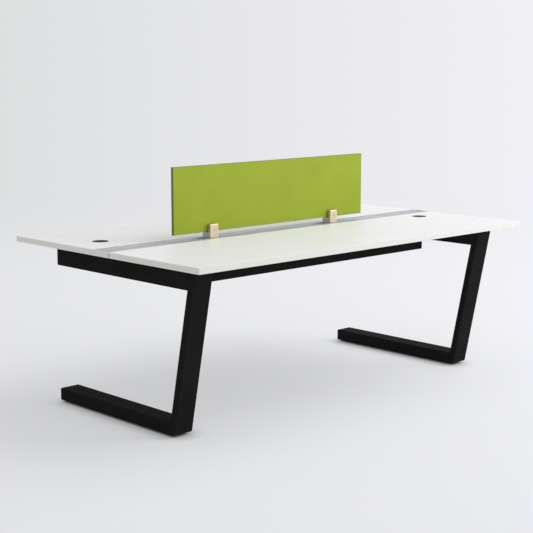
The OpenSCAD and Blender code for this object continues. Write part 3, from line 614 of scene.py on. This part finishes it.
def studio_floor():
    """A pale matt floor that fades out into the background.

    What the camera sees of it is part plain colour and part lit surface, so the shadow stays as weak as in a
    studio whose walls light the floor from all round. The plain part is painted light: it grows lighter
    towards the key light, and a painted contact shadow darkens it close to what stands on it.
    """
    made, tree, shader = new_material("pale_studio_floor", "#EDEEF0", 0.9, Specular_IOR_Level=0.1)
    place = add(tree, "ShaderNodeTexCoord")
    # Painted light: the floor's plain colour grows lighter along KEY_SIDE, towards the key light
    along = add(tree, "ShaderNodeVectorMath", {0: place.outputs["Object"]}, operation="DOT_PRODUCT")
    along.inputs[1].default_value = KEY_SIDE
    grade = spread(tree, along.outputs["Value"], 0, 1, -GRADE_REACH, GRADE_REACH)
    # Painted contact shadow: ambient occlusion darkens the floor's plain colour close to what stands on it
    painted_contact_shade = add(tree, "ShaderNodeAmbientOcclusion", samples=8, Distance=PAINTED_CONTACT_SHADE_REACH)
    plain = add(tree, "ShaderNodeEmission", {"Color": tint(tree, grade, FLOOR_DIM, FLOOR_LIT),
                                             "Strength": painted_contact_shade.outputs["AO"]})
    path = add(tree, "ShaderNodeLightPath")
    share = add(tree, "ShaderNodeMath", {0: path.outputs["Is Camera Ray"]}, operation="MULTIPLY")
    share.inputs[1].default_value = PLAIN_SHARE
    seen = add(tree, "ShaderNodeMixShader", {0: share.outputs[0], 1: shader.outputs[0], 2: plain.outputs[0]})
    reach = add(tree, "ShaderNodeVectorMath", {0: place.outputs["Object"]}, operation="LENGTH")
    fade = add(tree, "ShaderNodeMapRange", {"Value": reach.outputs["Value"]}, interpolation_type="SMOOTHSTEP",
               From_Min=FADE_FROM, From_Max=FADE_TO, To_Min=0.0, To_Max=1.0)
    clear = add(tree, "ShaderNodeBsdfTransparent")
    faded = add(tree, "ShaderNodeMixShader",
                {0: fade.outputs["Result"], 1: seen.outputs[0], 2: clear.outputs[0]})
    tree.links.new(faded.outputs[0], tree.nodes["Material Output"].inputs["Surface"])
    return made


bm = bmesh.new()
bmesh.ops.create_circle(bm, cap_ends=True, segments=96, radius=FADE_TO)
floor_mesh = bpy.data.meshes.new("floor")
bm.to_mesh(floor_mesh)
bm.free()
floor_mesh.materials.append(studio_floor())
floor = bpy.data.objects.new("floor", floor_mesh)
bpy.context.scene.collection.objects.link(floor)

# The background is a pale grey that grows lighter towards the light. The object itself is lit by a plain grey
LIGHT_SIDE = (0.7227, -0.6911, 0.0)
GRADE_HALF = 0.2
BACKDROP_DIM = "#DEDFE0"
BACKDROP_LIT = "#F0F0F4"
AMBIENT = 0.62
world = bpy.data.worlds.new("studio")
bpy.context.scene.world = world
world.use_nodes = True
tree = world.node_tree
tree.nodes.clear()
place = add(tree, "ShaderNodeTexCoord")
side = add(tree, "ShaderNodeVectorMath", {0: place.outputs["Generated"]}, operation="DOT_PRODUCT")
side.inputs[1].default_value = LIGHT_SIDE
grade = spread(tree, side.outputs["Value"], 0, 1, -GRADE_HALF, GRADE_HALF)
backdrop = add(tree, "ShaderNodeBackground", {"Color": tint(tree, grade, BACKDROP_DIM, BACKDROP_LIT)},
               Strength=1.0)
ambient = add(tree, "ShaderNodeBackground", Color=(AMBIENT, AMBIENT, AMBIENT, 1), Strength=1.0)
path = add(tree, "ShaderNodeLightPath")
seen = add(tree, "ShaderNodeMath", {0: path.outputs["Is Camera Ray"], 1: path.outputs["Is Glossy Ray"]},
           operation="MAXIMUM")
seen = add(tree, "ShaderNodeMath", {0: seen.outputs[0], 1: path.outputs["Is Transmission Ray"]},
           operation="MAXIMUM")
mixed = add(tree, "ShaderNodeMixShader", {0: seen.outputs[0], 1: ambient.outputs[0], 2: backdrop.outputs[0]})
add(tree, "ShaderNodeOutputWorld", {"Surface": mixed.outputs[0]})


def softbox(name, at, aim, size, power):
    """A square studio softbox."""
    data = bpy.data.lights.new(name, "AREA")
    data.shape = "SQUARE"
    data.size = size
    data.energy = power
    lamp = bpy.data.objects.new(name, data)
    lamp.location = at
    lamp.rotation_euler = (Vector(aim) - Vector(at)).to_track_quat("-Z", "Y").to_euler()
    bpy.context.scene.collection.objects.link(lamp)


softbox("key_softbox", at=(8.2, -3.0, 8.8), aim=(0, 0, 0.6), size=11.0, power=1020)
softbox("front_fill", at=(3.0, -3.6, 1.8), aim=(0, 0, 0.8), size=2.4, power=46)

# The camera, fitted to the edges read off the photo: no shift and no depth of field
CAMERA_AT = (-4.2090, -4.3132, 1.5444)
CAMERA_YAW = math.radians(46.283)
CAMERA_PITCH = math.radians(-9.221)
FOCAL_PIXELS = 1280
PHOTO_WIDTH = 533
SENSOR_WIDTH = 36
camera_data = bpy.data.cameras.new("camera")
camera_data.sensor_width = SENSOR_WIDTH
camera_data.lens = FOCAL_PIXELS / PHOTO_WIDTH * SENSOR_WIDTH
camera_data.clip_end = 100
camera = bpy.data.objects.new("camera", camera_data)
look = Vector((math.cos(CAMERA_YAW) * math.cos(CAMERA_PITCH),
               math.sin(CAMERA_YAW) * math.cos(CAMERA_PITCH),
               math.sin(CAMERA_PITCH)))
camera.location = CAMERA_AT
camera.rotation_euler = look.to_track_quat("-Z", "Y").to_euler()
bpy.context.scene.collection.objects.link(camera)
bpy.context.scene.camera = camera
bpy.context.scene.view_settings.view_transform = "Standard"
